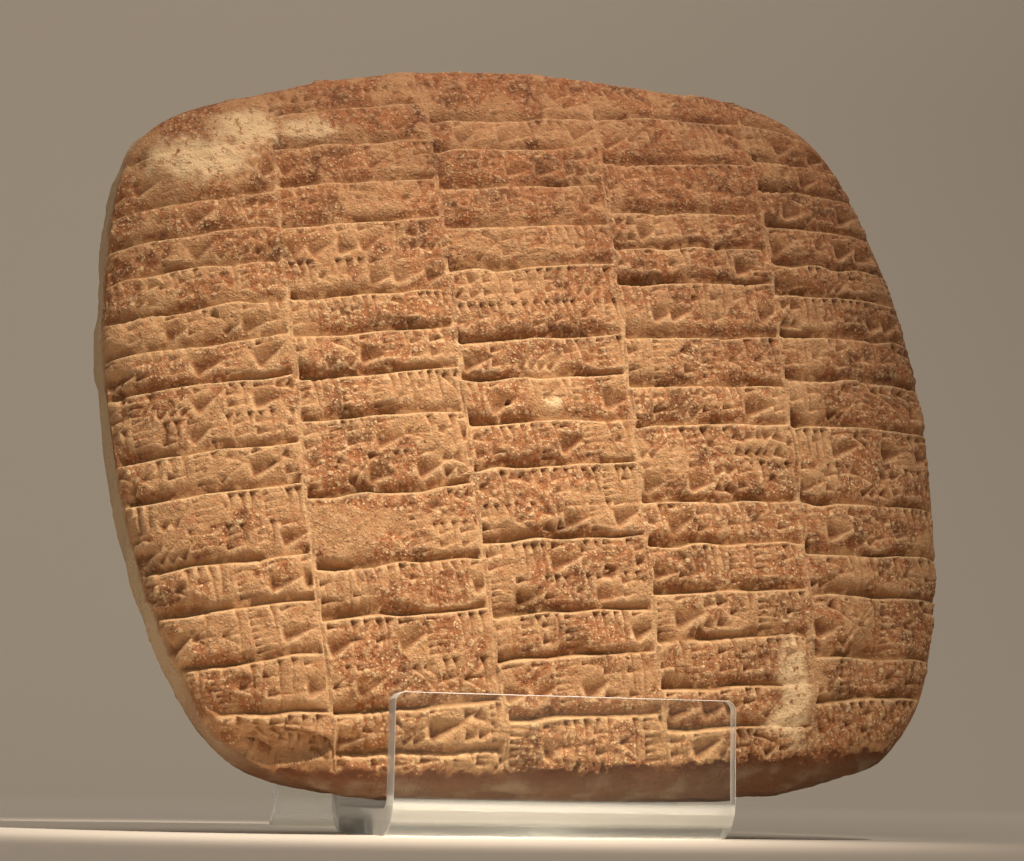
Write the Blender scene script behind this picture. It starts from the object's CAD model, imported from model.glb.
import logging
import math
from dataclasses import dataclass, field
from enum import Enum
from typing import Callable

import bpy
import numpy as np
from mathutils import Matrix, Vector


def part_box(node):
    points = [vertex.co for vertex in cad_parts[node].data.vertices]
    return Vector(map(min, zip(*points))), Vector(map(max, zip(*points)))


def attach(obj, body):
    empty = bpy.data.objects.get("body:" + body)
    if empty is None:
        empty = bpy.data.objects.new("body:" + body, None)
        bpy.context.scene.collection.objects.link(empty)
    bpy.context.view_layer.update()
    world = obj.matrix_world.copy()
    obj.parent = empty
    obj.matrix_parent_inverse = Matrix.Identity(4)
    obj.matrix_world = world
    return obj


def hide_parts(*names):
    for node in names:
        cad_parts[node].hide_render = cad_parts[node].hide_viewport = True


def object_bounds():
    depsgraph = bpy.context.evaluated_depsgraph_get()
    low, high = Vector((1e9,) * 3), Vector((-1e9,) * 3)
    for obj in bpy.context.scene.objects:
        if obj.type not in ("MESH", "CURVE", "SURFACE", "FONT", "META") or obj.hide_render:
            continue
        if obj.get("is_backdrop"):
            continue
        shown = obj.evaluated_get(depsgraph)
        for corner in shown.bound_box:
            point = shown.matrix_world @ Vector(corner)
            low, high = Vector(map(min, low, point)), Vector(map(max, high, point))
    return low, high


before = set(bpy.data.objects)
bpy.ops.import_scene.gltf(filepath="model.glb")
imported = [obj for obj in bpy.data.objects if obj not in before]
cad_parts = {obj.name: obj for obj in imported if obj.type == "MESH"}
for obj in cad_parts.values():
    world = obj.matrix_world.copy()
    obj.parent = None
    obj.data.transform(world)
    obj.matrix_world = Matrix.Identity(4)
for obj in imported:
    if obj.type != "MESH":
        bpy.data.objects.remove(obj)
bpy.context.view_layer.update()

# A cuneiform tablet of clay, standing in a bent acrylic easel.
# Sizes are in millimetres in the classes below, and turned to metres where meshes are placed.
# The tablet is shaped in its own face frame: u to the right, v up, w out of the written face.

MM = 0.001
LOG = logging.getLogger("tablet")
Pair = tuple[float, float]
Point = tuple[float, float, float]


# ------------------------------------------------------------------ small helpers

def srgb(code: int) -> tuple[float, float, float, float]:
    """Turns an sRGB hex colour to linear light.

    Args:
        code: The colour as 0xRRGGBB.

    Returns:
        Linear red, green and blue, with an alpha of 1.
    """
    parts = [(code >> shift & 255) / 255 for shift in (16, 8, 0)]
    linear = [c / 12.92 if c <= 0.04045 else ((c + 0.055) / 1.055) ** 2.4 for c in parts]
    return (*linear, 1.0)


def smoothstep(low: float, high: float, x: np.ndarray) -> np.ndarray:
    """Eases from 0 to 1 as x goes from low to high."""
    t = np.clip((x - low) / (high - low), 0, 1)
    return t * t * (3 - 2 * t)


def add_node(tree: bpy.types.NodeTree, kind: str, inputs: dict | None = None,
             stops: list | None = None, **settings: object) -> bpy.types.Node:
    """Adds a shader node with its settings, values and links.

    Args:
        tree: The material's node tree.
        kind: The node's type.
        inputs: Socket name or number to a value, or to the socket or node that feeds it.
        stops: Positions and colours, for a colour ramp.
        settings: The node's own properties.

    Returns:
        The new node.
    """
    node = tree.nodes.new(kind)
    for name, value in settings.items():
        setattr(node, name, value)
    for key, value in (inputs or {}).items():
        if isinstance(value, bpy.types.Node):
            value = next(output for output in value.outputs if output.enabled)
        if isinstance(value, bpy.types.NodeSocket):
            tree.links.new(value, node.inputs[key])
        else:
            node.inputs[key].default_value = value
    for index, (position, colour) in enumerate(stops or []):
        ramp = node.color_ramp.elements
        if index >= len(ramp):
            ramp.new(position)
        ramp[index].position = position
        ramp[index].color = colour
    return node


def new_material(name: str) -> tuple[bpy.types.Material, bpy.types.NodeTree, bpy.types.NodeSocket]:
    """Starts a material with an empty node tree.

    Args:
        name: Its name.

    Returns:
        The material, its tree, and the object coordinates that its patterns are laid on.
    """
    material = bpy.data.materials.new(name)
    material.use_nodes = True
    tree = material.node_tree
    tree.nodes.clear()
    return material, tree, add_node(tree, "ShaderNodeTexCoord").outputs["Object"]


def deselect_everything() -> None:
    """Leaves object mode with nothing selected."""
    if bpy.context.object and bpy.context.object.mode != "OBJECT":
        bpy.ops.object.mode_set(mode="OBJECT")
    bpy.ops.object.select_all(action="DESELECT")


def select_edges(piece: bpy.types.Object, wanted: Callable[[Vector, Vector], bool]) -> None:
    """Goes to edit mode with only some edges selected.

    Args:
        piece: The active object.
        wanted: Tells from the places of an edge's two ends whether it is selected.
    """
    bpy.ops.object.mode_set(mode="EDIT")
    bpy.ops.mesh.select_mode(type="EDGE")
    bpy.ops.mesh.select_all(action="DESELECT")
    bpy.ops.object.mode_set(mode="OBJECT")
    for edge in piece.data.edges:
        edge.select = wanted(*(piece.data.vertices[i].co for i in edge.vertices))
    bpy.ops.object.mode_set(mode="EDIT")


def read_rows(source: bpy.types.bpy_prop_collection, key: str) -> np.ndarray:
    """Reads a vector from each item of a mesh, such as its vertices' places.

    Args:
        source: The items.
        key: Name of the vector.

    Returns:
        One row of three numbers for each item.
    """
    flat = np.empty(len(source) * 3, dtype=np.float32)
    source.foreach_get(key, flat)
    return flat.reshape(-1, 3).astype(np.float64)


def write_points(mesh: bpy.types.Mesh, points: np.ndarray) -> None:
    """Moves a mesh's vertices to one row of coordinates each."""
    mesh.vertices.foreach_set("co", points.astype(np.float32).ravel())
    mesh.update()


# ------------------------------------------------------------------ the tablet's form

@dataclass(frozen=True)
class Corners:
    """One value for each corner of the written face."""

    lower_left: float
    lower_right: float
    upper_left: float
    upper_right: float

    def blend(self, a: np.ndarray, b: np.ndarray) -> np.ndarray:
        """Blends the four values over the square from -1 to 1.

        Args:
            a: Place across, from the left.
            b: Place up, from below.

        Returns:
            The blended value at each place.
        """
        x, y = (a + 1) / 2, (b + 1) / 2
        low = self.lower_left + (self.lower_right - self.lower_left) * x
        high = self.upper_left + (self.upper_right - self.upper_left) * x
        return low + (high - low) * y


@dataclass(frozen=True)
class Crown:
    """How a face swells above the side wall."""

    height: float
    spread: float
    fullness: float


@dataclass(frozen=True)
class Ellipsoid:
    """A lump or a chip, in the face frame."""

    at: Point
    radii: Point

    def reach(self, points: np.ndarray, along: np.ndarray) -> np.ndarray:
        """How far each point inside the ellipsoid is from its surface.

        Args:
            points: The points.
            along: The unit direction to go in, for each point.

        Returns:
            The distance, and 0 for the points outside.
        """
        radii = np.array(self.radii)
        q = (points - np.array(self.at)) / radii
        m = along / radii
        inside = (q * q).sum(1) < 1
        dot, size = (q * m).sum(1), (m * m).sum(1)
        root = np.sqrt(np.maximum(dot * dot - size * ((q * q).sum(1) - 1), 0))
        return np.where(inside, (root - dot) / size, 0)


@dataclass(frozen=True)
class PillowForm:
    """The tablet's smooth pillow form, as it was patted into shape."""

    corner_u: Corners = Corners(-60, 66, -70, 64.5)
    corner_v: Corners = Corners(-58.5, -63, 58.5, 63)
    sharpness: Corners = Corners(9, 9, 8.8, 7.6)
    swell_left: float = 9.7
    swell_right: float = 12.1
    swell_bottom: float = 5.1
    swell_top: float = 9
    rounding_falloff: float = 6
    edge: float = 9
    side_swell: float = 0.8
    front: Crown = Crown(10.5, 2.55, 2.19)
    back: Crown = Crown(17, 2.2, 2)

    def outline_share(self, a: np.ndarray, b: np.ndarray) -> np.ndarray:
        """Distance from the middle, which is 1 on the outline.

        Args:
            a: Place across, from -1 to 1.
            b: Place up, from -1 to 1.

        Returns:
            The share of the way to the outline.
        """
        reach = np.maximum(np.hypot(a, b) / math.sqrt(2), 1e-9)
        sides = [np.sin(np.clip(x / reach, -1, 1) * math.pi / 2) for x in (a, b)]
        n = self.sharpness.blend(*sides)
        return (np.abs(a) ** n + np.abs(b) ** n) ** (1 / n)

    def round_off(self, a: np.ndarray, b: np.ndarray) -> tuple[np.ndarray, np.ndarray]:
        """Moves points of the square so that its border becomes the rounded outline.

        Args:
            a: Place across, from -1 to 1.
            b: Place up, from -1 to 1.

        Returns:
            The moved places.
        """
        square = np.maximum(np.maximum(np.abs(a), np.abs(b)), 1e-9)
        share = 1 + (square / self.outline_share(a, b) - 1) * square ** self.rounding_falloff
        return a * share, b * share

    def face_point(self, a: np.ndarray, b: np.ndarray) -> tuple[np.ndarray, np.ndarray]:
        """Face coordinates of a place.

        Args:
            a: Place across, from -1 to 1.
            b: Place up, from -1 to 1.

        Returns:
            u and v in millimetres.
        """
        x, y = (a + 1) / 2, (b + 1) / 2
        across = self.swell_right * x - self.swell_left * (1 - x)
        along = self.swell_top * y - self.swell_bottom * (1 - y)
        u = self.corner_u.blend(a, b) + (1 - b * b) * across
        v = self.corner_v.blend(a, b) + (1 - a * a) * along
        return u, v

    def swelling(self, crown: Crown, a: np.ndarray, b: np.ndarray) -> np.ndarray:
        """Height of a face above the side wall, in millimetres, at a place."""
        share = np.minimum(self.outline_share(a, b), 1)
        return crown.height * (1 - share ** crown.spread) ** (1 / crown.fullness)

    def wrap(self, cube: np.ndarray) -> np.ndarray:
        """Bends the surface of the cube from -1 to 1 into the pillow.

        Args:
            cube: Points on the cube, z towards the written face.

        Returns:
            Their places in the face frame.
        """
        crowded = 0.1  # the outer tenth of the grid crowds up to the rim, where the form turns
        edge = 1 - np.abs(cube[:, :2])
        near = crowded * (np.clip(edge / crowded, 0, 1)) ** 1.6
        packed = np.sign(cube[:, :2]) * (1 - np.where(edge < crowded, near, edge))
        a, b = self.round_off(packed[:, 0], packed[:, 1])
        u, v = self.face_point(a, b)
        z = cube[:, 2]
        front = self.edge / 2 + self.swelling(self.front, a, b)
        back = -self.edge / 2 - self.swelling(self.back, a, b)
        wall = z * self.edge / 2
        w = np.where(z > 0.999, front, np.where(z < -0.999, back, wall))
        grow = 1 + self.side_swell * (1 - z * z) / np.maximum(np.hypot(u, v), 1)
        return np.stack([u * grow, v * grow, w], axis=1)


# ------------------------------------------------------------------ the ruling

class Fill(Enum):
    """How much of a case is written on."""

    FULL = "full"
    SPARSE = "sparse"
    RIGHT_END = "right end"
    BLANK = "blank"


@dataclass(frozen=True)
class Case:
    """One ruled box of script: its four corners in u and v."""

    lower_left: Pair
    lower_right: Pair
    upper_left: Pair
    upper_right: Pair
    fill: Fill
    lines: int

    @property
    def width(self) -> float:
        """Length of the case along its row."""
        return math.dist(self.lower_left, self.lower_right)

    @property
    def height(self) -> float:
        """Height of the case at its middle."""
        left = math.dist(self.lower_left, self.upper_left)
        return (left + math.dist(self.lower_right, self.upper_right)) / 2

    @property
    def slope(self) -> float:
        """Angle that the row climbs at, in radians."""
        run = self.lower_right[0] - self.lower_left[0]
        return math.atan2(self.lower_right[1] - self.lower_left[1], run)

    def at(self, x: float, y: float) -> Pair:
        """A place in the case.

        Args:
            x: Millimetres from its left end.
            y: Millimetres above its lower rule.

        Returns:
            u and v.
        """
        s, t = x / self.width, y / self.height
        low = [p + (q - p) * s for p, q in zip(self.lower_left, self.lower_right)]
        high = [p + (q - p) * s for p, q in zip(self.upper_left, self.upper_right)]
        return tuple(p + (q - p) * t for p, q in zip(low, high))


@dataclass(frozen=True)
class Ruling:
    """The columns and rows ruled on the written face."""

    form: PillowForm = PillowForm()
    border: float = 0.95
    half_height: float = 67.8
    row_tilt: float = 0.05
    row_flattening: float = 0.115
    two_line_height: float = 11.4
    # A column rule's place across is start + slant * b + bow * b * b at the height b.
    rules: tuple[Point, ...] = (
        (-1.02, 0, 0), (-0.596, 0.033, -0.07), (-0.213, 0.013, 0),
        (0.189, 0.03, 0.058), (0.594, 0.038, 0.106), (1.015, 0, 0),
    )
    # Case heights down each column. The last case takes what is left.
    cases: tuple[tuple[float, ...], ...] = (
        (11, 10.8, 6.8, 6.4, 7.7, 6.5, 7.3, 12.1, 7.3, 12.3, 8, 9.8, 9.9),
        (5.2, 7.8, 7.8, 8.2, 13.7, 7.1, 7.5, 7.6, 13.6, 12.8, 8.7, 16.4, 8.4),
        (9.2, 6.3, 7.6, 7.9, 8, 13.5, 7.2, 8.3, 7.9, 13, 12.8, 7.5, 10.8),
        (8.8, 10.3, 9.9, 7, 6.8, 10.4, 8.8, 7.3, 13.8, 7.8, 8.3, 8.1, 8.4, 6.9),
        (8.6, 9, 6.2, 7.8, 7.3, 6, 7.7, 8, 8.8, 14.1, 9.1, 7.4, 11, 7.7),
    )
    # Cases that aren't written on all over, by column and place down it.
    fills: dict = field(default_factory=lambda: {
        (1, 9): Fill.RIGHT_END, (1, 4): Fill.SPARSE, (0, 0): Fill.BLANK,
        (0, 1): Fill.SPARSE, (3, 0): Fill.SPARSE, (4, 0): Fill.SPARSE,
    })

    @property
    def columns(self) -> int:
        """Number of columns."""
        return len(self.cases)

    def rule_at(self, rule: int, b: np.ndarray) -> np.ndarray:
        """A column rule's places across at the heights b, from -1 to 1."""
        start, slant, bow = self.rules[rule]
        return start + slant * b + bow * b * b

    def heights(self, column: int) -> list[float]:
        """Heights of a column's row rules, with its two ends.

        Args:
            column: The column's number.

        Returns:
            Heights as shares of the half height, from the top down.
        """
        top = self.border * self.half_height
        lines = [top]
        for height in self.cases[column]:
            lines.append(lines[-1] - height)
        return [v / self.half_height for v in (*lines, -top)]

    def place(self, a: np.ndarray, share: np.ndarray) -> tuple[np.ndarray, np.ndarray]:
        """Face coordinates of a place in the ruling.

        Args:
            a: Place across, from -1 to 1.
            share: Height in the ruling, from -1 to 1.

        Returns:
            u and v in millimetres.
        """
        free = 1 - share ** 8
        bent = share * (1 + self.row_flattening * a * a) + self.row_tilt * a
        return self.form.face_point(*self.form.round_off(a, share + (bent - share) * free))

    def row_rule(self, column: int, share: float, steps: int = 40) -> np.ndarray:
        """The line of a row rule across one column.

        Args:
            column: The column's number.
            share: The rule's height, as a share of the half height.
            steps: Number of points.

        Returns:
            Rows of u and v, from left to right.
        """
        height = np.full(steps, share)
        left, right = self.rule_at(column, height), self.rule_at(column + 1, height)
        across = left + (right - left) * np.linspace(0, 1, steps)
        return np.stack(self.place(across, height), axis=1)

    def column_rule(self, rule: int, steps: int = 80) -> np.ndarray:
        """The line of a column rule as rows of u and v, from the bottom up."""
        height = np.linspace(-self.border, self.border, steps)
        return np.stack(self.place(self.rule_at(rule, height), height), axis=1)

    def boxes(self, column: int) -> list[Case]:
        """The cases of a column.

        Args:
            column: The column's number.

        Returns:
            Its cases from the top down.
        """
        made = []
        lines = self.heights(column)
        for index, (top, bottom) in enumerate(zip(lines, lines[1:])):
            high, low = (self.row_rule(column, share, 2) for share in (top, bottom))
            tall = (top - bottom) * self.half_height >= self.two_line_height
            made.append(Case(tuple(low[0]), tuple(low[1]), tuple(high[0]), tuple(high[1]),
                             self.fills.get((column, index), Fill.FULL), 2 if tall else 1))
        return made


# ------------------------------------------------------------------ relief on a face

@dataclass(frozen=True)
class Grain:
    """Fractal noise: its longest and shortest waves in millimetres, how fast they die away, its seed."""

    longest: float
    shortest: float
    slope: float
    seed: int


class Field:
    """A map of heights over a face, in millimetres, that repeats at its edges."""

    def __init__(self, low: Pair, high: Pair, pitch: float) -> None:
        """Lays out the map.

        Args:
            low: Lowest u and v.
            high: Highest u and v.
            pitch: Distance between samples.
        """
        self.low, self.pitch = low, pitch
        self.u = np.arange(low[0], high[0], pitch)
        self.v = np.arange(low[1], high[1], pitch)
        self.shape = (len(self.v), len(self.u))
        rows, cols = np.fft.fftfreq(self.shape[0], pitch), np.fft.rfftfreq(self.shape[1], pitch)
        self.frequency = np.hypot(rows[:, None], cols[None, :])

    def noise(self, grain: Grain) -> np.ndarray:
        """Makes fractal noise.

        Args:
            grain: Its waves and its seed.

        Returns:
            The noise, with a spread of 1 about 0.
        """
        white = np.random.default_rng(grain.seed).standard_normal(self.shape)
        f = np.maximum(self.frequency, 1e-6)
        band = (f > 1 / grain.longest) * np.exp(-(f * grain.shortest) ** 2) * f ** -grain.slope
        made = np.fft.irfft2(np.fft.rfft2(white) * band, self.shape)
        return made / made.std()

    def blur(self, values: np.ndarray, radius: float) -> np.ndarray:
        """Softens a map with a spread of radius."""
        soft = np.exp(-2 * (math.pi * self.frequency * radius) ** 2)
        return np.fft.irfft2(np.fft.rfft2(values) * soft, self.shape)

    def span(self, axis: int, first: float, last: float) -> slice:
        """The part of the map between two places.

        Args:
            axis: 0 across, 1 up.
            first: Where it begins.
            last: Where it ends.

        Returns:
            The slice, cut off at the map's edges.
        """
        start, stop = (int((place - self.low[axis]) / self.pitch) for place in (first, last))
        return slice(max(start, 0), min(max(stop + 1, 0), self.shape[1 - axis]))

    def sample(self, values: np.ndarray, u: np.ndarray, v: np.ndarray) -> np.ndarray:
        """Reads a map between its samples.

        Args:
            values: The map.
            u: Places across.
            v: Places up.

        Returns:
            The value at each place.
        """
        x, y = (u - self.low[0]) / self.pitch, (v - self.low[1]) / self.pitch
        x0, y0 = np.floor(x).astype(int), np.floor(y).astype(int)
        fx, fy = x - x0, y - y0
        rows, cols = [(y0 + k) % self.shape[0] for k in (0, 1)], [(x0 + k) % self.shape[1] for k in (0, 1)]
        low = values[rows[0], cols[0]] * (1 - fx) + values[rows[0], cols[1]] * fx
        high = values[rows[1], cols[0]] * (1 - fx) + values[rows[1], cols[1]] * fx
        return low * (1 - fy) + high * fy


@dataclass(frozen=True)
class Stroke:
    """One press of the reed: a wedge-shaped head and a tail that fades out."""

    length: float
    head: float
    tail: float
    depth: float
    flare: float = 0.9


class Carving:
    """What has been pressed into one face: how deep, and how smooth."""

    skew: float = 0.5  # the reed leaves a wide slope on one side and a steep wall on the other
    back_of_head: float = 0.18  # how far a wedge reaches behind its head, as a share of its width
    polish_depth: float = 0.2  # a press this deep has left the clay smooth
    # A row rule: width at its left end, and how much of that is lost by its right end.
    slope_above: Pair = (3.2, 1.5)
    wall_below: Pair = (0.5, 0.15)
    depth_lost: float = 0.45
    row_reach: float = 6.0
    # A column rule: half its width, its wander, and how far its smoothed edges reach.
    column_half: float = 0.3
    wander: float = 0.2
    column_reach: float = 3.0

    def __init__(self, field_map: Field, seed: int) -> None:
        """Starts with bare clay.

        Args:
            field_map: The map that the carving is kept on.
            seed: Number that the wobble of the lines starts from.
        """
        self.map = field_map
        self.strokes = np.zeros(field_map.shape)
        self.rules = np.zeros(field_map.shape)
        self.smooth = np.zeros(field_map.shape)
        self.floor = np.zeros(field_map.shape)
        self.line = np.zeros(field_map.shape)
        self.lip = np.zeros(field_map.shape)
        self.rng = np.random.default_rng(seed)

    def press(self, at: Pair, angle: float, stroke: Stroke) -> None:
        """Presses one wedge.

        Args:
            at: u and v of the middle of the wedge's head.
            angle: Direction of its tail, in radians from the right.
            stroke: Its size.
        """
        reach = stroke.length + stroke.head
        cols, rows = (self.map.span(axis, at[axis] - reach, at[axis] + reach) for axis in (0, 1))
        if rows.start >= rows.stop or cols.start >= cols.stop:
            return
        du = self.map.u[cols][None, :] - at[0]
        dv = self.map.v[rows][:, None] - at[1]
        x = du * math.cos(angle) + dv * math.sin(angle)
        y = dv * math.cos(angle) - du * math.sin(angle)
        along = np.clip(1 - x / stroke.length, 0, 1)
        flare = np.clip(1 - x / (stroke.flare * stroke.head), 0, 1)
        behind = np.clip(1 + x / (self.back_of_head * stroke.head), 0, 1)
        half = stroke.tail * along ** 0.5 + (stroke.head / 2 - stroke.tail) * flare
        fall = (0.45 * along ** 0.5 + 0.55 * flare) * behind
        side = y / np.maximum(half, 1e-3)
        section = np.minimum((1 - side) / (1 + self.skew), (1 + side) / (1 - self.skew))
        pressed = stroke.depth * fall * np.clip(section, 0, 1)
        self.strokes[rows, cols] = np.maximum(self.strokes[rows, cols], pressed)
        reached = np.clip(pressed / self.polish_depth, 0, 1)
        self.smooth[rows, cols] = np.maximum(self.smooth[rows, cols], reached)

    def rule_row(self, line: np.ndarray, depth: float) -> None:
        """Cuts a row rule: a rough slope above, and a short smooth wall below with a sharp lip.

        Args:
            line: Its points from left to right.
            depth: Its depth at the left end.
        """
        first, last = line[0, 0] - 0.2, line[-1, 0] + 0.2
        cols = self.map.span(0, first, last)
        u = self.map.u[cols]
        along = (u - first) / (last - first)
        wave = [self.wobble(len(u)) for _ in range(4)]
        centre = np.interp(u, line[:, 0], line[:, 1]) + 0.3 + self.wander * wave[0]
        above = (self.slope_above[0] - self.slope_above[1] * along) * (1 + 0.25 * wave[1])
        below = (self.wall_below[0] - self.wall_below[1] * along) * (1 + 0.15 * wave[2])
        deep = depth * (1 - self.depth_lost * along) * (1 + 0.2 * wave[3])
        deep *= smoothstep(0, 0.02, along) * smoothstep(1, 0.96, along)
        rows = self.map.span(1, centre.min() - self.row_reach, centre.max() + self.row_reach)
        dv = self.map.v[rows][:, None] - centre[None, :]
        slope = np.clip(1 - dv / above, 0, 1) ** 1.4
        wall = np.clip(1 + dv / below, 0, 1)
        cut = deep * np.where(dv > 0, slope, wall)
        self.rules[rows, cols] = np.maximum(self.rules[rows, cols], cut)
        floor = smoothstep(0.9, 0.3, dv) * smoothstep(0, 0.15, wall) * np.clip(deep, 0, 1)
        self.floor[rows, cols] = np.maximum(self.floor[rows, cols], floor)
        ridge = np.exp(-((dv + below + 0.15) / 0.2) ** 2) * (deep > 0.2)
        self.lip[rows, cols] = np.maximum(self.lip[rows, cols], ridge)

    def rule_column(self, line: np.ndarray, depth: float) -> None:
        """Cuts a column rule: a narrow, smooth, shallow groove with a rim on both sides.

        Args:
            line: Its points from the bottom up.
            depth: Its depth.
        """
        rows = self.map.span(1, line[0, 1], line[-1, 1])
        v = self.map.v[rows]
        centre = np.interp(v, line[:, 1], line[:, 0]) + self.wander * self.wobble(len(v))
        half = self.column_half * (1 + 0.35 * self.wobble(len(v)))
        cols = self.map.span(0, centre.min() - self.column_reach, centre.max() + self.column_reach)
        du = np.abs(self.map.u[cols][None, :] - centre[:, None])
        cut = np.clip(1 - du / half[:, None], 0, 1)
        shelf = smoothstep(0.65, 0.3, du)
        self.strokes[rows, cols] *= 1 - 0.7 * shelf
        rules = self.rules[rows, cols] * (1 - 0.75 * shelf)
        self.rules[rows, cols] = np.maximum(rules, depth * cut)
        self.floor[rows, cols] *= 1 - shelf
        shown = np.clip(0.75 + 0.35 * self.wobble(len(v)), 0, 1)[:, None]
        self.line[rows, cols] = np.maximum(self.line[rows, cols], shown * smoothstep(0.34, 0.1, du))

    def wobble(self, count: int) -> np.ndarray:
        """A slow random wave, for the unevenness of a hand-drawn line.

        Args:
            count: Number of samples.

        Returns:
            The wave, with a spread of about 1.
        """
        knots = max(4, int(count * self.map.pitch / 4))
        rough = self.rng.standard_normal(knots)
        t = np.linspace(0, knots - 1, count)
        i = np.clip(t.astype(int), 0, knots - 2)
        f = t - i
        f = f * f * (3 - 2 * f)
        return rough[i] * (1 - f) + rough[i + 1] * f


# ------------------------------------------------------------------ the writing

class Sign(Enum):
    """Made-up groups of strokes. None of them is a letter."""

    COMB = "comb"
    POSTS = "posts"
    WEDGE = "wedge"
    LATTICE = "lattice"
    SLANTS = "slants"
    FAN = "fan"
    HOOKS = "hooks"


@dataclass
class Scribe:
    """Fills cases with made-up groups of strokes."""

    carving: Carving
    seed: int
    depth: float = 0.85
    crowding: float = 1.0
    rng: np.random.Generator = field(init=False)

    def __post_init__(self) -> None:
        """Starts the scribe's random choices."""
        self.rng = np.random.default_rng(self.seed)

    def press(self, case: Case, x: float, y: float, angle: float, stroke: Stroke) -> None:
        """Presses a stroke at a place in a case.

        Args:
            case: The case.
            x: Millimetres from its left end.
            y: Millimetres above its lower rule.
            angle: Direction of the tail in degrees, 0 along the row.
            stroke: The stroke.
        """
        turn = case.slope + math.radians(angle + self.rng.normal(0, 4))
        self.carving.press(case.at(x, y), turn, stroke)

    def size(self, length: float, head: float, tail: float = 0.36, depth: float = 1.0,
             flare: float = 0.9) -> Stroke:
        """A stroke of about a given size.

        Args:
            length: Its length.
            head: Width of its head.
            tail: Half the width of its tail.
            depth: Its depth, as a share of the scribe's usual depth.
            flare: Length of the head, as a share of its width.

        Returns:
            The stroke.
        """
        vary = self.rng.uniform(0.88, 1.15, 3)
        return Stroke(length * vary[0], head * vary[1], tail, self.depth * depth * vary[2], flare)

    def comb(self, case: Case, x: float, y: float, w: float, h: float) -> None:
        """A stack of short level strokes, closed by an upright.

        Args:
            case: The case.
            x: Left end of the group, from the case's left end.
            y: Bottom of the group, above the lower rule.
            w: Its width.
            h: Its height.
        """
        count = max(3, round(h / 1.2))
        for i in range(count):
            self.press(case, x + 0.2, y + (i + 0.5) * h / count, 0, self.size(w, 1.0, 0.38, 0.7))
        if self.rng.random() < 0.6:
            self.press(case, x + w * 0.95, y + h * 0.96, -90, self.size(h, 1.8, 0.4))

    def posts(self, case: Case, x: float, y: float, w: float, h: float) -> None:
        """Uprights side by side, with their heads at the top.

        Args:
            case: The case.
            x: Left end of the group, from the case's left end.
            y: Bottom of the group, above the lower rule.
            w: Its width.
            h: Its height.
        """
        count = max(2, round(w / 1.7))
        for i in range(count):
            self.press(case, x + (i + 0.5) * w / count, y + h * 0.96, -90, self.size(h * 1.05, 1.6, 0.4))
        if self.rng.random() < 0.6:
            self.press(case, x, y + h * self.rng.uniform(0.3, 0.7), 0, self.size(w * 1.1, 1.5, 0.45))

    def wedge(self, case: Case, x: float, y: float, w: float, h: float) -> None:
        """One big wedge that points to the right, with a smaller stroke over it.

        Args:
            case: The case.
            x: Left end of the group, from the case's left end.
            y: Bottom of the group, above the lower rule.
            w: Its width.
            h: Its height.
        """
        big = self.size(w * 1.1, min(h * 0.85, 4.4), 0.45, 1.5, 1.3)
        self.press(case, x + 0.5, y + h * 0.4, self.rng.uniform(0, 22), big)
        self.press(case, x + w * 0.1, y + h * 0.9, 0, self.size(w * 0.9, 1.5, 0.4))

    def lattice(self, case: Case, x: float, y: float, w: float, h: float) -> None:
        """Level strokes crossed by uprights.

        Args:
            case: The case.
            x: Left end of the group, from the case's left end.
            y: Bottom of the group, above the lower rule.
            w: Its width.
            h: Its height.
        """
        for share in (0.3, 0.72):
            self.press(case, x, y + h * share, 0, self.size(w * 1.1, 1.7, 0.5))
        for i in range(max(2, round(w / 2.0))):
            self.press(case, x + 0.9 + i * 2.0, y + h * 0.98, -90, self.size(h * 1.05, 1.3, 0.36, 0.9))

    def slants(self, case: Case, x: float, y: float, w: float, h: float) -> None:
        """Strokes that slant both ways.

        Args:
            case: The case.
            x: Left end of the group, from the case's left end.
            y: Bottom of the group, above the lower rule.
            w: Its width.
            h: Its height.
        """
        for i in range(max(2, round(w / 2.0))):
            low = self.rng.random() < 0.5
            start = y + h * (0.15 if low else 0.85)
            angle = self.rng.uniform(20, 50) * (1 if low else -1)
            self.press(case, x + i * 1.8, start, angle, self.size(h * 1.2, 1.9, 0.45, 1.1))

    def fan(self, case: Case, x: float, y: float, w: float, h: float) -> None:
        """Strokes that spread from one point, closed by an upright.

        Args:
            case: The case.
            x: Left end of the group, from the case's left end.
            y: Bottom of the group, above the lower rule.
            w: Its width.
            h: Its height.
        """
        for angle in (-34, -2, 32):
            self.press(case, x + 0.4, y + h * 0.5, angle, self.size(w * 0.95, 1.5, 0.4))
        self.press(case, x + w * 0.85, y + h * 0.95, -90, self.size(h * 1.05, 1.9, 0.4))

    def hooks(self, case: Case, x: float, y: float, w: float, h: float) -> None:
        """Short broad corner wedges.

        Args:
            case: The case.
            x: Left end of the group, from the case's left end.
            y: Bottom of the group, above the lower rule.
            w: Its width.
            h: Its height.
        """
        for i in range(max(1, round(w / 2.2))):
            for share in (0.25, 0.75):
                spot = self.size(2.4, 2.4, 0.5, 1.2)
                self.press(case, x + 0.6 + i * 2.2, y + h * share, self.rng.uniform(-50, 20), spot)

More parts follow.
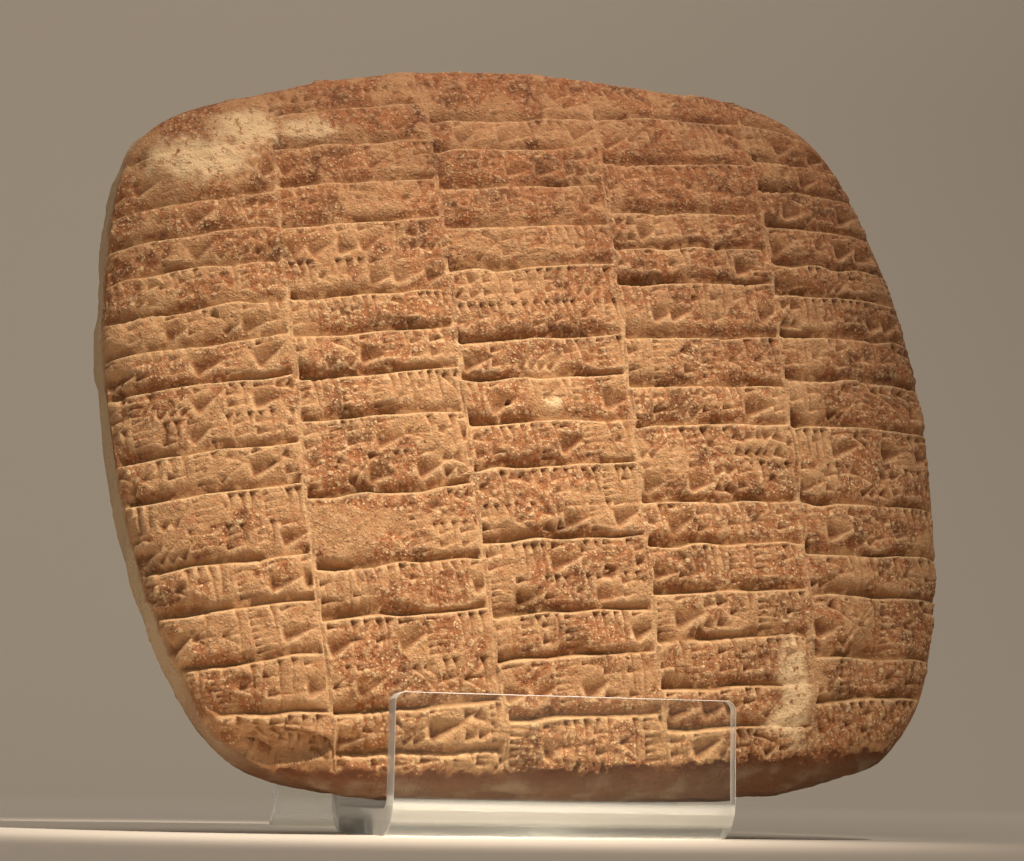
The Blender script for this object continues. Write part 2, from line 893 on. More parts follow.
    def write_line(self, case: Case, start: float, low: float, high: float) -> None:
        """Fills one line of a case with groups of strokes.

        Args:
            case: The case.
            start: Where the line starts, from the case's left end.
            low: Bottom of the line, above the lower rule.
            high: Top of the line.
        """
        ways = {Sign.COMB: self.comb, Sign.POSTS: self.posts, Sign.WEDGE: self.wedge,
                Sign.LATTICE: self.lattice, Sign.SLANTS: self.slants, Sign.FAN: self.fan,
                Sign.HOOKS: self.hooks}
        groups = list(Sign)
        shares = [0.2, 0.16, 0.2, 0.18, 0.1, 0.1, 0.06]
        x = start
        while x < case.width - 1.2:
            sign = groups[int(self.rng.choice(len(groups), p=shares))]
            wide = min(self.rng.uniform(3.0, 5.6), max(case.width - 0.4 - x, 1.6))
            ways[sign](case, x, low, wide, high - low)
            x += wide + self.rng.uniform(0.1, 0.6) / self.crowding

    def write(self, case: Case) -> None:
        """Writes in a case.

        Args:
            case: The case.
        """
        if case.fill is Fill.BLANK:
            return
        start = {Fill.RIGHT_END: case.width * 0.58}.get(case.fill, 0.7)
        floor, ceiling = 1.3, case.height + 0.1
        step = (ceiling - floor) / case.lines
        for line in range(case.lines):
            if case.fill is Fill.SPARSE and self.rng.random() < 0.4:
                continue
            low = floor + line * step
            self.write_line(case, start, low, low + step - (0.4 if case.lines > 1 else 0))


# ------------------------------------------------------------------ finishes

@dataclass(frozen=True)
class Pattern:
    """Noise of one grain size, and the mask that it is turned into."""

    size: float
    detail: float
    rough: float
    low: float
    high: float
    least: float = 0.0
    most: float = 1.0


@dataclass(frozen=True)
class ClaySurface:
    """Sun-dried clay: pressed smooth where the reed cut, weathered rough between."""

    name: str = "sun_dried_clay_pressed"
    skin_dark: int = 0x6C3D23
    skin: int = 0xA66A43
    buff: int = 0xBA8C62
    skin_light: int = 0xC4976C
    grit: int = 0xEFD3A4
    cut: int = 0xBE8F5E
    cut_deep: int = 0x867045
    rim: int = 0xDDB78B
    worn: int = 0xE6C69A
    wall: int = 0x755239
    wall_dust: int = 0x8A7159
    left_dust: int = 0xC0A583
    smoke: int = 0xBFB4B2
    roughness: float = 0.92
    bump: float = 0.34
    # Grain sizes are in millimetres. Pores are 0.4 and temper grains 0.5, as in a gritty river clay.
    patterns: dict = field(default_factory=lambda: {
        "flakes": Pattern(5, 3, 0.55, 0.46, 0.7),
        "light": Pattern(2.2, 4, 0.7, 0.5, 0.72),
        "cleaned": Pattern(1.8, 3, 0.65, 0, 1, 0.2, 1.0),
        "grit": Pattern(0.5, 2, 0.6, 0.56, 0.7),
        "soot": Pattern(0.55, 2, 0.6, 0.44, 0.32),
        "dust": Pattern(1.1, 2, 0.55, 0.45, 0.68, 0.8, 0.32),
        "chalk": Pattern(1.6, 3, 0.65, 0.34, 0.46, 0.0, 0.95),
        "haze": Pattern(12, 1, 0.5, 0, 1, 0.005, 0.025),
        "pores": Pattern(0.4, 2, 0.7, 0, 1, 0.15, 0.75),
        "lumps": Pattern(1.0, 4, 0.65, 0, 1, 0.15, 0.75),
    })
    grains: tuple[Pair, ...] = ((0.8, 0.45), (1.5, 0.55))  # cell size, and how few cells hold a grain

    def build(self) -> bpy.types.Material:
        """Makes the material.

        Returns:
            The material.
        """
        material, tree, place = new_material(self.name)
        axes = add_node(tree, "ShaderNodeSeparateXYZ", {0: place}).outputs
        marks = add_node(tree, "ShaderNodeAttribute", attribute_name="marks").outputs
        deep, smooth, worn = add_node(tree, "ShaderNodeSeparateColor", {0: marks["Color"]}).outputs
        shapes = add_node(tree, "ShaderNodeAttribute", attribute_name="shape").outputs
        rim, wall, hollow = add_node(tree, "ShaderNodeSeparateColor", {0: shapes["Color"]}).outputs
        seen = {}
        for name, pattern in self.patterns.items():
            noise = add_node(tree, "ShaderNodeTexNoise", {
                "Vector": place, "Scale": 1 / (pattern.size * MM), "Detail": pattern.detail,
                "Roughness": pattern.rough})
            seen[name] = add_node(tree, "ShaderNodeMapRange", {
                "Value": noise, "From Min": pattern.low, "From Max": pattern.high,
                "To Min": pattern.least, "To Max": pattern.most}, interpolation_type="SMOOTHSTEP")
        # Grains of temper, 0.2 to 0.5 mm, that stand pale in the skin.
        grains = 0.0
        for size, few in self.grains:
            cells = add_node(tree, "ShaderNodeTexVoronoi", {"Vector": place, "Scale": 1 / (size * MM)})
            pick = add_node(tree, "ShaderNodeSeparateColor", {0: cells.outputs["Color"]})
            held = add_node(tree, "ShaderNodeMapRange", {
                "Value": pick, "From Min": few, "From Max": few + 0.3})
            spot = add_node(tree, "ShaderNodeMapRange", {
                "Value": cells.outputs["Distance"], "From Min": 0.42, "From Max": 0.16,
                "To Max": held}, interpolation_type="SMOOTHSTEP")
            grains = add_node(tree, "ShaderNodeMath", {0: grains, 1: spot}, operation="MAXIMUM")
        # The top is browner, as if smoked, and shows fewer grains.
        corner = add_node(tree, "ShaderNodeMath", {0: axes["X"], 1: 0.25, 2: axes["Z"]},
                          operation="MULTIPLY_ADD")
        corner = add_node(tree, "ShaderNodeMath", {0: corner, 1: seen["haze"]}, operation="ADD")
        smoke = add_node(tree, "ShaderNodeMapRange", {
            "Value": corner, "From Min": 85 * MM, "From Max": 145 * MM}, interpolation_type="SMOOTHSTEP")
        # Cleaned patches are smooth and buff, and the skin between them is rough and red-brown.
        clean = add_node(tree, "ShaderNodeMath", {0: marks["Alpha"], 1: seen["cleaned"]}, operation="ADD")
        clean = add_node(tree, "ShaderNodeMapRange", {
            "Value": clean, "From Min": 0.75, "From Max": 1.15}, interpolation_type="SMOOTHSTEP")
        gritty = add_node(tree, "ShaderNodeMapRange", {"Value": smoke, "To Min": 0.85, "To Max": 0.5})
        rugged = add_node(tree, "ShaderNodeMapRange", {"Value": clean, "To Min": gritty, "To Max": 0.3})
        specks = add_node(tree, "ShaderNodeMath", {0: grains, 1: 0.75}, operation="MULTIPLY")
        specks = add_node(tree, "ShaderNodeMath", {0: specks, 1: seen["grit"]}, operation="MAXIMUM")
        tan = add_node(tree, "ShaderNodeMix", {
            0: seen["light"], 6: srgb(self.buff), 7: srgb(self.skin)}, data_type="RGBA")
        # Olive where a stroke is deep and dusty.
        olive = add_node(tree, "ShaderNodeMapRange", {"Value": deep, "From Min": 0.4, "From Max": 0.9})
        pressed = add_node(tree, "ShaderNodeMix", {
            0: olive, 6: srgb(self.cut), 7: srgb(self.cut_deep)}, data_type="RGBA")
        # Side walls: smoothed with a wet hand, duller, with pale dust on the left.
        side = add_node(tree, "ShaderNodeMix", {
            0: seen["flakes"], 6: srgb(self.wall), 7: srgb(self.wall_dust)}, data_type="RGBA")
        left = add_node(tree, "ShaderNodeMapRange", {
            "Value": axes["X"], "From Min": -50 * MM, "From Max": -66 * MM})
        side = add_node(tree, "ShaderNodeMix", {0: left, 6: side, 7: srgb(self.left_dust)},
                        data_type="RGBA")
        colour = srgb(self.skin)
        # Layers over the bare clay: colour, mask, how much of it, and how it is laid on.
        for layer, mask, share, how in (
                (srgb(self.skin_dark), seen["flakes"], 1.0, "MIX"),
                (srgb(self.skin_light), seen["light"], 1.0, "MIX"),
                (tan, clean, 1.0, "MIX"),
                (srgb(self.grit), specks, rugged, "MIX"),
                (srgb(self.skin_dark), seen["soot"], rugged, "MIX"),
                (pressed, smooth, seen["dust"], "MIX"),
                (srgb(self.rim), rim, 0.65, "MIX"),
                (side, wall, 1.0, "MIX"),
                (srgb(self.skin_dark), hollow, 0.72, "MIX"),
                (srgb(self.worn), worn, seen["chalk"], "MIX"),
                (srgb(self.smoke), smoke, 0.75, "MULTIPLY")):
            amount = add_node(tree, "ShaderNodeMath", {0: mask, 1: share}, operation="MULTIPLY")
            colour = add_node(tree, "ShaderNodeMix", {0: amount, 6: colour, 7: layer},
                              data_type="RGBA", blend_type=how)
        height = add_node(tree, "ShaderNodeMath", {0: grains, 1: 0.35, 2: seen["pores"]},
                          operation="MULTIPLY_ADD")
        height = add_node(tree, "ShaderNodeMath", {0: height, 1: seen["lumps"]}, operation="ADD")
        calm = add_node(tree, "ShaderNodeMapRange", {"Value": smooth, "To Min": 1.0, "To Max": 0.4})
        bump = add_node(tree, "ShaderNodeBump", {
            "Height": height, "Strength": calm, "Distance": self.bump * MM})
        shader = add_node(tree, "ShaderNodeBsdfPrincipled", {
            "Base Color": colour, "Roughness": self.roughness, "Specular IOR Level": 0.25,
            "Normal": bump})
        add_node(tree, "ShaderNodeOutputMaterial", {"Surface": shader})
        return material


@dataclass(frozen=True)
class ClearAcrylic:
    """Cast acrylic sheet, polished: clear through the faces, brighter at the sawn edges."""

    name: str = "cast_acrylic_polished"
    tint: int = 0xF6F8F4
    ior: float = 1.49
    clear_at_foot: float = 0.42
    clear_at_ends: float = 0.5

    def build(self) -> bpy.types.Material:
        """Makes the material.

        Returns:
            The material.
        """
        material, tree, place = new_material(self.name)
        smudge = add_node(tree, "ShaderNodeTexNoise", {
            "Vector": place, "Scale": 1 / (14 * MM), "Detail": 3.0}).outputs["Fac"]
        rough = add_node(tree, "ShaderNodeMapRange", {
            "Value": smudge, "From Min": 0.4, "From Max": 0.8, "To Min": 0.01, "To Max": 0.06})
        # The foot rests on the shelf: scuffed underneath, with fine dust in the bend.
        height = add_node(tree, "ShaderNodeSeparateXYZ", {0: place}).outputs["Z"]
        clear = add_node(tree, "ShaderNodeMapRange", {
            "Value": height, "From Min": 5.2 * MM, "From Max": 6.4 * MM,
            "To Min": self.clear_at_foot, "To Max": 1.0}, interpolation_type="SMOOTHSTEP")
        sole = add_node(tree, "ShaderNodeMapRange", {
            "Value": height, "From Min": 1.4 * MM, "From Max": 2.8 * MM,
            "To Min": 1.0 - self.clear_at_foot, "To Max": 0.0}, interpolation_type="SMOOTHSTEP")
        foot = add_node(tree, "ShaderNodeMath", {
            0: clear.outputs["Result"], 1: sole.outputs["Result"]}, operation="ADD")
        sawn = add_node(tree, "ShaderNodeAttribute", attribute_name="sawn").outputs["Fac"]
        edge = add_node(tree, "ShaderNodeMapRange", {"Value": sawn, "To Min": 1.0,
                                                     "To Max": self.clear_at_ends})
        weight = add_node(tree, "ShaderNodeMath", {
            0: foot.outputs[0], 1: edge.outputs["Result"]}, operation="MINIMUM")
        shader = add_node(tree, "ShaderNodeBsdfPrincipled", {
            "Base Color": srgb(self.tint), "Roughness": rough.outputs["Result"], "IOR": self.ior,
            "Transmission Weight": weight.outputs[0]})
        add_node(tree, "ShaderNodeOutputMaterial", {"Surface": shader.outputs["BSDF"]})
        return material


@dataclass(frozen=True)
class StudioPaper:
    """Matt background paper, rolled out under and behind the object."""

    name: str = "studio_paper_matt"
    colour: int = 0xC9C0B4

    def build(self) -> bpy.types.Material:
        """Makes the material.

        Returns:
            The material.
        """
        material = bpy.data.materials.new(self.name)
        material.use_nodes = True
        shader = material.node_tree.nodes["Principled BSDF"]
        shader.inputs["Base Color"].default_value = srgb(self.colour)
        shader.inputs["Roughness"].default_value = 0.9
        return material


# ------------------------------------------------------------------ the tablet

@dataclass
class Tablet:
    """The clay tablet, shaped in its face frame and then stood in the easel."""

    origin: Vector
    form: PillowForm = PillowForm()
    ruling: Ruling = Ruling()
    lean: float = 9.5
    roll: float = 3.5
    turn: float = -0.9
    centre: Point = (-0.9, 25.3, 70.4)
    columns_of_faces: int = 720
    rows_of_faces: int = 660
    wall_rings: int = 12
    most_triangles: int = 190_000
    overhang: float = 0.5
    inset: float = 0.35  # keeps the raised grain inside the part's own form
    pitch: float = 0.12
    rule_depth: float = 1.9
    back_rule_depth: float = 0.8
    column_rule_depth: float = 0.4
    waviness: Grain = Grain(26, 4, 1.6, 3)
    flaking: Grain = Grain(5, 0.7, 1.3, 4)
    pitting: Grain = Grain(2.4, 0.6, 0.8, 5)
    cleaning: Grain = Grain(34, 3, 1.5, 8)
    chips: tuple[Ellipsoid, ...] = (
        Ellipsoid((-53, -55, 7.5), (17, 3.6, 3.4)),
        Ellipsoid((36, -72, 6), (13, 4.4, 6)),
        Ellipsoid((-58, 57, 16.5), (15, 10, 6.2)),
        Ellipsoid((58, -47, 16.5), (7, 12, 7)),
    )
    # Flattened shoulders: u, v, the two radii, and how far the clay stands back.
    dents: tuple[tuple[float, float, float, float, float], ...] = (
        (-50, 66, 16, 12, 1.3), (28, 70, 22, 10, 1.1), (72, 44, 12, 14, 1.1),
        (-76, 36, 8, 16, 0.9), (-68, -44, 8, 12, 0.9),
    )
    lump: Ellipsoid = Ellipsoid((-73.6, 12, -1.5), (2.6, 5.5, 3.4))
    # Pale, worn areas: u, v and the two radii.
    worn: tuple[tuple[float, float, float, float], ...] = (
        (-58, 48, 9, 4.5), (-49, 54.5, 6, 4.5), (-38, 54, 5, 2.2), (41.5, -50, 2.8, 9), (39.5, -55, 3.4, 2.6),
        (1.4, 2, 1.6, 1.2),
    )
    # Small dark holes: u, v, radius and depth.
    pits: tuple[tuple[float, float, float, float], ...] = (
        (-73.5, 5.5, 1.7, 1.2), (-72, -13, 0.9, 1.3), (-6.8, 1.9, 0.7, 1.1), (8.6, -28.5, 1.6, 1.2),
    )

    def matrix(self) -> Matrix:
        """Where the face frame stands in the scene.

        Returns:
            The matrix from face millimetres to metres.
        """
        place = Matrix.Translation(self.origin + Vector(self.centre) * MM)
        turned = Matrix.Rotation(math.radians(self.turn), 4, "Z")
        leaning = Matrix.Rotation(math.radians(90 - self.lean), 4, "X")
        rolled = Matrix.Rotation(math.radians(self.roll), 4, "Z")
        return place @ turned @ leaning @ rolled @ Matrix.Scale(MM, 4)

    def blank(self) -> bpy.types.Object:
        """Makes the closed grid that the tablet is shaped from.

        Returns:
            The grid, on the surface of the cube from -1 to 1.
        """
        across, up = self.columns_of_faces, self.rows_of_faces
        deselect_everything()
        bpy.ops.mesh.primitive_grid_add(
            x_subdivisions=across // 3, y_subdivisions=up // 3, size=2, location=(0, 0, -1))
        back = bpy.context.object
        bpy.ops.object.mode_set(mode="EDIT")
        bpy.ops.mesh.flip_normals()
        bpy.ops.mesh.select_all(action="DESELECT")
        bpy.ops.mesh.select_mode(type="EDGE")
        bpy.ops.mesh.select_non_manifold()
        bpy.ops.mesh.subdivide(number_cuts=2)
        bpy.ops.object.mode_set(mode="OBJECT")
        deselect_everything()
        bpy.ops.mesh.primitive_grid_add(
            x_subdivisions=across, y_subdivisions=up, size=2, location=(0, 0, 1))
        front = bpy.context.object
        back.select_set(True)
        bpy.ops.object.join()
        bpy.ops.object.transform_apply(location=True, rotation=False, scale=False)
        bpy.ops.object.mode_set(mode="EDIT")
        bpy.ops.mesh.select_mode(type="EDGE")
        bpy.ops.mesh.select_all(action="DESELECT")
        bpy.ops.mesh.select_non_manifold()
        bpy.ops.mesh.bridge_edge_loops(number_cuts=self.wall_rings - 1)
        bpy.ops.object.mode_set(mode="OBJECT")
        return front

    def carve_front(self, field_map: Field) -> Carving:
        """Rules and writes the front.

        Args:
            field_map: The map to keep the carving on.

        Returns:
            The carving.
        """
        carving = Carving(field_map, seed=11)
        scribe = Scribe(carving, seed=23)
        for column in range(self.ruling.columns):
            for case in self.ruling.boxes(column):
                scribe.write(case)
        for column in range(self.ruling.columns):
            for share in self.ruling.heights(column)[1:-1]:
                carving.rule_row(self.ruling.row_rule(column, share), self.rule_depth)
        for rule in range(1, self.ruling.columns):
            carving.rule_column(self.ruling.column_rule(rule), self.column_rule_depth)
        return carving

    def carve_back(self, field_map: Field) -> Carving:
        """Rules and writes the back, more plainly.

        Args:
            field_map: The map to keep the carving on.

        Returns:
            The carving.
        """
        carving = Carving(field_map, seed=12)
        scribe = Scribe(carving, seed=29, depth=0.55, crowding=0.6)
        for column in range(self.ruling.columns):
            for index, case in enumerate(self.ruling.boxes(column)):
                if index % 2 and index < 9:
                    scribe.write(case)
            for share in self.ruling.heights(column)[2:-1:2]:
                carving.rule_row(self.ruling.row_rule(column, share), self.back_rule_depth)
        for rule in range(1, self.ruling.columns):
            carving.rule_column(self.ruling.column_rule(rule), self.column_rule_depth)
        return carving

    def relief(self, form_points: np.ndarray, cube_z: np.ndarray) -> dict[str, np.ndarray]:
        """Height and marks of every vertex.

        Args:
            form_points: The smooth form's points.
            cube_z: 1 on the front, -1 on the back, between on the walls.

        Returns:
            The height to raise each vertex by, and its marks from 0 to 1.
        """
        field_map = Field((-82, -74), (84, 76), self.pitch)
        u, v, w = form_points.T
        slow = field_map.noise(self.waviness)
        rough = field_map.noise(self.flaking)
        pitted = field_map.noise(self.pitting)
        across, up = field_map.u[None, :], field_map.v[:, None]
        # The lower left was cleaned most, and the right least.
        bias = 0.9 * smoothstep(-20, -62, across) * smoothstep(30, -10, up) - 0.5 * smoothstep(0, 50, across)
        buff = smoothstep(-0.15, 0.75, field_map.noise(self.cleaning) + bias)
        rough = rough * (1 - 0.45 * buff)
        faded = smoothstep(12, 62, up - 0.25 * across) + 0.35 * smoothstep(0.4, 1.6, slow)
        made = {}
        for side, face in ((1, self.carve_front(field_map)), (-1, self.carve_back(field_map))):
            worn = np.zeros(field_map.shape)
            for cu, cv, ru, rv in self.worn if side > 0 else ():
                away = np.hypot((across - cu) / ru, (up - cv) / rv)
                worn = np.maximum(worn, smoothstep(1.3, 0.6, away + 0.2 * rough))
            keep = (1 - 0.6 * worn) * np.clip(1 - 0.38 * faded, 0.3, 1)
            cuts = face.rules + face.strokes * (1 - 0.5 * np.clip(face.rules / 1.2, 0, 1))
            bare = np.clip(1 - cuts / 0.3, 0, 1)
            height = -cuts * keep + 0.09 * face.lip * keep ** 2
            height += (0.05 + 0.06 * bare) * rough - 0.18 * bare * np.clip(pitted - 1.3, 0, 1.5)
            height += 0.18 * slow
            for pu, pv, radius, depth in self.pits if side > 0 else ():
                away = np.hypot(across - pu, up - pv) / radius
                height -= depth * smoothstep(1.1, 0.2, away + 0.15 * rough)
            # Edges that stand above their surroundings catch dust, and hollows stay dark.
            crisp = height - field_map.blur(height, 0.42)
            broad = height - field_map.blur(height, 1.6)
            edges = np.maximum(np.clip(crisp / 0.13 - 0.25, 0, 1), 0.65 * face.line)
            hollow = np.clip(-crisp / 0.18 - broad / 0.55 - 0.25, 0, 1)
            maps = {
                "height": height, "buff": buff, "worn": worn, "rim": edges * keep,
                "deep": np.clip(cuts / 1.6, 0, 1),
                "smooth": np.maximum(0.5 * face.smooth, face.floor) * keep,
                "hollow": hollow * (1 - 0.5 * face.floor) * (1 - face.line)}
            here = cube_z * side > 0.999
            for name, values in maps.items():
                made.setdefault(name, np.zeros(len(u)))
                made[name][here] = field_map.sample(values, u[here], v[here])
        made["bare"] = field_map.sample(0.2 * slow + 0.05 * rough, u + 1.3 * w, v - 1.1 * w)
        made["rough"] = field_map.sample(rough, u, v)
        made["height"] = np.where(np.abs(cube_z) > 0.999, made["height"], made["bare"])
        return made

    def bottom_of_writing(self, u: np.ndarray) -> np.ndarray:
        """Height below which the clay was only smoothed, never written on."""
        return -61.6 + 3.8 * (u / 60) ** 2 * (u < 0) + 1.2 * (u / 60) ** 2 * (u > 0)

    def shape(self, tablet: bpy.types.Object) -> dict[str, np.ndarray]:
        """Bends the grid to the pillow, breaks it and raises the relief.

        Args:
            tablet: The grid.

        Returns:
            The marks of every vertex.
        """
        mesh = tablet.data
        cube = read_rows(mesh.vertices, "co")
        smooth_form = self.form.wrap(cube)
        write_points(mesh, smooth_form)
        normals = read_rows(mesh.vertex_normals, "vector")
        marks = self.relief(smooth_form, cube[:, 2])
        share = self.form.outline_share(*np.clip(cube[:, :2], -1, 1).T)
        face = np.abs(cube[:, 2]) > 0.999
        bottom = self.bottom_of_writing(smooth_form[:, 0])
        written = smoothstep(-0.35, 0.35, smooth_form[:, 1] - bottom - 0.6 * marks["rough"])
        waist = smoothstep(0, 0.6, 1 - np.abs(cube[:, 2]) + 0.1 * marks["rough"])
        left = smoothstep(-55, -68, smooth_form[:, 0])
        low = smoothstep(-42, -56, smooth_form[:, 1])
        waist = np.maximum(np.maximum(0.75 * waist, left), low)
        written = np.where(cube[:, 2] < -0.999, 1 - smoothstep(-48, -58, smooth_form[:, 1]), written)
        marks["wall"] = np.where(face, 1 - written, waist)
        marks["height"] *= np.where(face, smoothstep(1.0, 0.985, np.minimum(share, 1)), 1)
        marks["height"] = np.where(face & (written < 1), (marks["bare"] - self.overhang) * (1 - written)
                                   + marks["height"] * written, marks["height"]) - self.inset
        for key in ("smooth", "rim", "hollow", "worn"):
            marks[key] = marks[key] * np.where(face, written, 0)
        under = smoothstep(-2.4, -0.4, smooth_form[:, 1] - bottom) * (1 - written)
        front = face & (cube[:, 2] > 0)
        marks["hollow"] = np.where(front, np.maximum(marks["hollow"], under), marks["hollow"])
        points = smooth_form + normals * self.lump.reach(smooth_form, normals)[:, None]
        for cu, cv, ru, rv, depth in self.dents:
            away = ((points[:, 0] - cu) / ru) ** 2 + ((points[:, 1] - cv) / rv) ** 2
            points = points - normals * (depth * np.exp(-away))[:, None]
        broken = np.zeros(len(points))
        for chip in self.chips:
            cut = np.minimum(chip.reach(points, -normals), 1.1 * min(chip.radii))
            points = points - normals * cut[:, None]
            broken = np.maximum(broken, smoothstep(0.1, 0.8, cut))
        marks["height"] *= 1 - 0.5 * broken
        write_points(mesh, points + normals * marks["height"][:, None])
        return marks

    def build(self, finish: bpy.types.Material) -> bpy.types.Object:
        """Makes the whole tablet.

        Args:
            finish: Its material.

        Returns:
            The tablet.
        """
        tablet = self.blank()
        tablet.name = tablet.data.name = "tablet_clay"
        marks = self.shape(tablet)
        mesh = tablet.data
        for name, keys in (("marks", ("deep", "smooth", "worn", "buff")),
                           ("shape", ("rim", "wall", "hollow"))):
            layer = mesh.color_attributes.new(name, "FLOAT_COLOR", "POINT")
            colours = np.ones((len(mesh.vertices), 4), dtype=np.float32)
            for channel, key in enumerate(keys):
                colours[:, channel] = np.clip(marks[key], 0, 1)
            layer.data.foreach_set("color", colours.ravel())
        mesh.transform(self.matrix())
        deselect_everything()
        tablet.select_set(True)
        bpy.context.view_layer.objects.active = tablet
        bpy.ops.object.modifier_add(type="DECIMATE")
        decimate = tablet.modifiers[-1]
        triangles = sum(len(face.vertices) - 2 for face in mesh.polygons)
        decimate.ratio = min(1, self.most_triangles / triangles)
        bpy.ops.object.modifier_apply(modifier=decimate.name)
        mesh.materials.clear()
        mesh.materials.append(finish)
        bpy.ops.object.shade_smooth()
        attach(tablet, "root")
        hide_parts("tablet")
        LOG.info("tablet: %d faces", len(mesh.polygons))
        return tablet


# ------------------------------------------------------------------ the easel

@dataclass
class Easel:
    """The clear easel: one strip of sheet, bent into lip, seat, back rest and prop."""

    origin: Vector
    width: float = 60
    thickness: float = 4.5
    lip_height: float = 23.5
    seat_depth: float = 43.3
    rest_lean: float = 7.5
    peak_height: float = 96
    prop_foot: float = 97.6
    bend_radius: float = 4.5
    lip_corner: float = 1.7
    bend_steps: int = 14
    polish: float = 0.25

    def corners(self) -> list[Vector]:
        """The middle line of the sheet, before its corners are bent.

        Returns:
            Points in depth and height.
        """
        half = self.thickness / 2
        seat_back = self.seat_depth - half
        rise = (self.peak_height - half) * math.tan(math.radians(self.rest_lean))
        peak = Vector((seat_back + rise, self.peak_height))
        foot = Vector((self.prop_foot - half, 0))
        return [Vector((half, self.lip_height)), Vector((half, half)), Vector((seat_back, half)),
                peak, foot.lerp(peak, -self.thickness / self.peak_height)]

    def build(self, finish: bpy.types.Material) -> bpy.types.Object:
        """Bends the strip: each stretch is extruded and each bend is spun from the last end.

        Args:
            finish: Its material.

        Returns:
            The easel.
        """
        line = self.corners()
        setbacks, turns = [0.0], [0.0]
        for before, at, after in zip(line, line[1:], line[2:]):
            first, second = (at - before).normalized(), (after - at).normalized()
            turn = math.atan2(first.x * second.y - first.y * second.x, first.dot(second))
            turns.append(turn)
            setbacks.append(self.bend_radius * math.tan(abs(turn) / 2))
        setbacks.append(0.0)

        deselect_everything()
        start = Vector((0, line[0].x, line[0].y)) * MM + self.origin
        bpy.ops.mesh.primitive_plane_add(size=1, location=start)
        easel = bpy.context.object
        easel.name = easel.data.name = "easel_acrylic"
        easel.scale = (self.width * MM, self.thickness * MM, 1)
        bpy.ops.object.transform_apply(location=True, rotation=False, scale=True)
        bpy.ops.object.mode_set(mode="EDIT")
        bpy.ops.mesh.select_mode(type="FACE")
        bpy.ops.mesh.select_all(action="SELECT")
        for index in range(1, len(line)):
            before, at = line[index - 1], line[index]
            along = (at - before).normalized()
            run = (at - before).length - setbacks[index - 1] - setbacks[index]
            step = Vector((0, along.x, along.y)) * run * MM
            bpy.ops.mesh.extrude_region_move(TRANSFORM_OT_translate={"value": step})
            if index + 1 < len(line):
                bend_start = at - along * setbacks[index]
                inward = Vector((-along.y, along.x)) * math.copysign(self.bend_radius, turns[index])
                pivot = bend_start + inward
                bpy.ops.mesh.spin(
                    steps=self.bend_steps, angle=-turns[index], axis=(1, 0, 0),
                    center=Vector((0, pivot.x, pivot.y)) * MM + self.origin)
        bpy.ops.mesh.select_all(action="SELECT")
        bpy.ops.mesh.remove_doubles(threshold=0.00001)
        bpy.ops.mesh.select_all(action="SELECT")
        bpy.ops.mesh.bisect(plane_co=(0, 0, 0), plane_no=(0, 0, 1), use_fill=True, clear_inner=True)
        bpy.ops.mesh.select_all(action="SELECT")
        bpy.ops.mesh.normals_make_consistent(inside=False)
        bpy.ops.object.mode_set(mode="OBJECT")
        self.round_lip(easel)
        self.finish_edges(easel)
        self.mark_sawn(easel)
        easel.data.materials.append(finish)
        easel.visible_shadow = False  # clear sheet hardly dims the clay behind it
        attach(easel, "root")
        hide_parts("easel")
        LOG.info("easel: %d faces", len(easel.data.polygons))
        return easel

    def round_lip(self, easel: bpy.types.Object) -> None:
        """Rounds the two top corners of the lip.

        Args:
            easel: The easel.
        """
        top = self.origin.z + self.lip_height * MM
        front = self.origin.y + self.thickness * MM
        near = 0.1 * MM
        select_edges(easel, lambda p, q: max(abs(p.z - top), abs(q.z - top)) < near
                     and abs(p.x - q.x) < near and max(p.y, q.y) < front + MM)
        bpy.ops.mesh.bevel(offset=self.lip_corner * MM, segments=6)
        bpy.ops.object.mode_set(mode="OBJECT")

    def mark_sawn(self, easel: bpy.types.Object) -> None:
        """Marks the sawn sides of the strip and the sawn top of the lip.

        Args:
            easel: The easel.
        """
        lip_top = self.origin.z + (self.lip_height - 2) * MM
        lip_back = self.origin.y + (self.thickness + 1) * MM
        marks = easel.data.attributes.new("sawn", "FLOAT", "FACE")
        for face in easel.data.polygons:
            top = face.center.z > lip_top and face.center.y < lip_back and face.normal.z > 0.3
            marks.data[face.index].value = float(top or abs(face.normal.x) > 0.3)

    def finish_edges(self, easel: bpy.types.Object) -> None:
        """Eases the sawn edges, and smooths the bends.

        Args:
            easel: The easel.
        """
        deselect_everything()
        easel.select_set(True)
        bpy.context.view_layer.objects.active = easel
        bpy.ops.object.modifier_add(type="BEVEL")
        bevel = easel.modifiers[-1]
        bevel.width, bevel.segments, bevel.limit_method = self.polish * MM, 3, "ANGLE"
        bevel.angle_limit = math.radians(40)
        bpy.ops.object.modifier_apply(modifier=bevel.name)
        bpy.ops.object.shade_smooth_by_angle(angle=math.radians(25))


# ------------------------------------------------------------------ studio

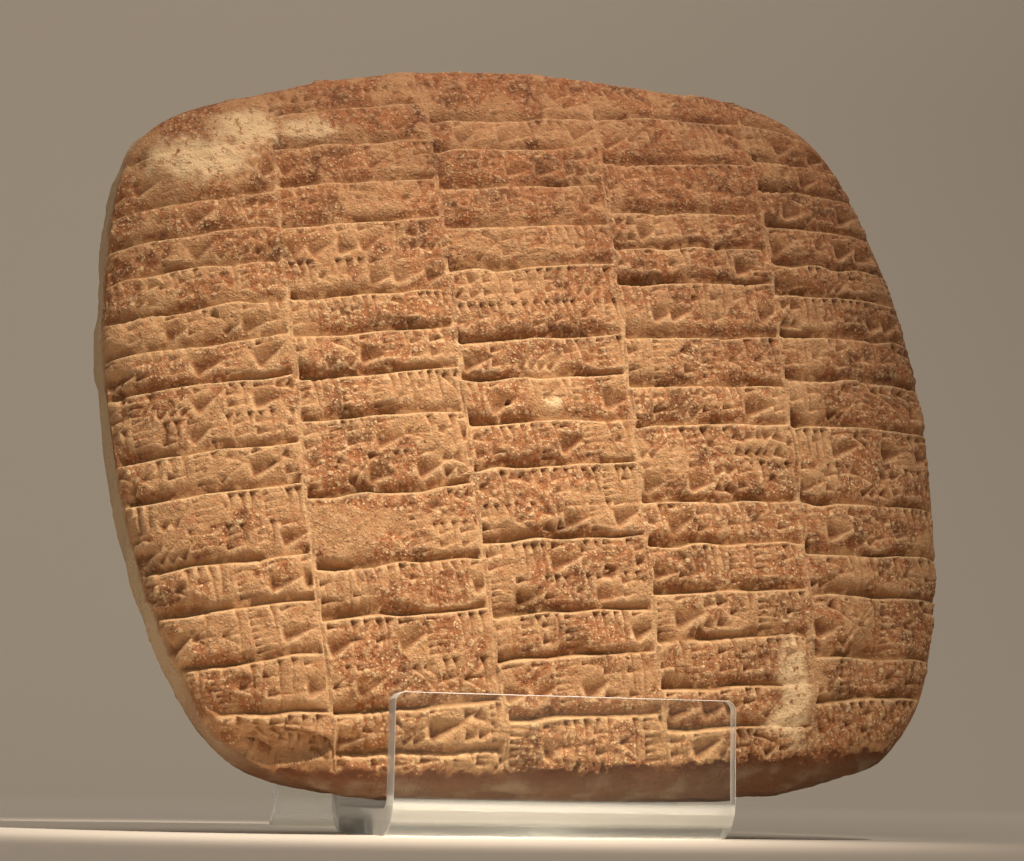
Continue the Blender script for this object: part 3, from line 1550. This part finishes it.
@dataclass
class Studio:
    """Paper, lights and camera around the object."""

    lip_foot: Vector
    camera_at: Point = (-129.6, -381.1, 7.9)
    yaw: float = 17.3
    pitch: float = 8.51
    tilt: float = 0.98
    focal_share: float = 2400 / 1024
    sensor: float = 36
    paper_size: float = 3
    backdrop_height: float = 2.2
    paper_curve: float = 0.7

    def paper(self) -> None:
        """Rolls out the paper: a floor that curves up into a backdrop."""
        deselect_everything()
        bpy.ops.mesh.primitive_plane_add(size=self.paper_size, location=(0, 0.2, 0))
        paper = bpy.context.object
        paper.name = paper.data.name = "studio_paper"
        bpy.ops.object.transform_apply(location=True, rotation=False, scale=False)
        far = max(v.co.y for v in paper.data.vertices)
        select_edges(paper, lambda p, q: min(p.y, q.y) > far - MM)
        bpy.ops.mesh.extrude_region_move(TRANSFORM_OT_translate={"value": (0, 0, self.backdrop_height)})
        select_edges(paper, lambda p, q: min(p.y, q.y) > far - MM and max(p.z, q.z) < MM)
        bpy.ops.mesh.bevel(offset=self.paper_curve, segments=16)
        bpy.ops.object.mode_set(mode="OBJECT")
        bpy.ops.object.shade_smooth()
        paper.data.materials.append(StudioPaper().build())
        paper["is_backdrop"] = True

    def light(self, name: str, kind: str, at: Point, to: Point, **settings: object) -> None:
        """Adds a light.

        Args:
            name: Its name.
            kind: Its type.
            at: Its place, in metres from the foot of the lip.
            to: The place that it looks at.
            settings: Its power in watts, its colour, and its size or beam.
        """
        data = bpy.data.lights.new(name, kind)
        for key, value in settings.items():
            setattr(data, key, value)
        lamp = bpy.data.objects.new(name, data)
        bpy.context.scene.collection.objects.link(lamp)
        lamp.location = self.lip_foot + Vector(at)
        lamp.rotation_euler = (Vector(to) - Vector(at)).to_track_quat("-Z", "Y").to_euler()

    def camera(self) -> None:
        """Sets up the camera: low, to the left of the lip, looking slightly up."""
        data = bpy.data.cameras.new("camera")
        data.sensor_width = self.sensor
        data.lens = self.focal_share * self.sensor
        data.clip_start, data.clip_end = 0.01, 20
        camera = bpy.data.objects.new("camera", data)
        bpy.context.scene.collection.objects.link(camera)
        camera.location = self.lip_foot + Vector(self.camera_at) * MM
        level = Matrix.Rotation(math.radians(90 + self.pitch), 4, "X")
        swing = Matrix.Rotation(math.radians(-self.yaw), 4, "Z")
        roll = Matrix.Rotation(math.radians(self.tilt), 4, "Z")
        camera.rotation_euler = (swing @ level @ roll).to_euler()
        bpy.context.scene.camera = camera

    def build(self) -> None:
        """Sets up the whole studio."""
        self.camera()
        self.paper()
        self.light("key", "SPOT", (0.2, -0.42, 0.95), (-0.024, 0.02, 0.03), energy=77,
                   color=srgb(0xFFF1DF)[:3], shadow_soft_size=0.03,
                   spot_size=math.radians(11.5), spot_blend=1.0)
        self.light("fill", "AREA", (-0.7, -0.9, 0.3), (0, 0.02, 0.07), energy=2.6,
                   color=srgb(0xFFF3E6)[:3], shape="DISK", size=0.7)
        self.light("backdrop", "AREA", (0.2, 0.25, 1.9), (0.25, 1.75, 0.4), energy=13.5,
                   color=srgb(0xFFF2E2)[:3], shape="DISK", size=1.2)
        world = bpy.data.worlds.new("studio_air")
        world.use_nodes = True
        world.node_tree.nodes["Background"].inputs["Color"].default_value = srgb(0xEFE7DC)
        world.node_tree.nodes["Background"].inputs["Strength"].default_value = 0.22
        bpy.context.scene.world = world


def main() -> None:
    """Builds the object and the studio around it."""
    logging.basicConfig(level=logging.INFO, format="%(message)s")
    low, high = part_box("easel")
    lip_foot = Vector(((low[0] + high[0]) / 2, low[1], 0))
    LOG.info("foot of the lip: %s", lip_foot)
    Studio(lip_foot).build()
    Tablet(lip_foot).build(ClaySurface().build())
    Easel(lip_foot).build(ClearAcrylic().build())
    bpy.context.scene.view_settings.view_transform = "Standard"
    low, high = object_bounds()


if __name__ == "__main__":
    main()
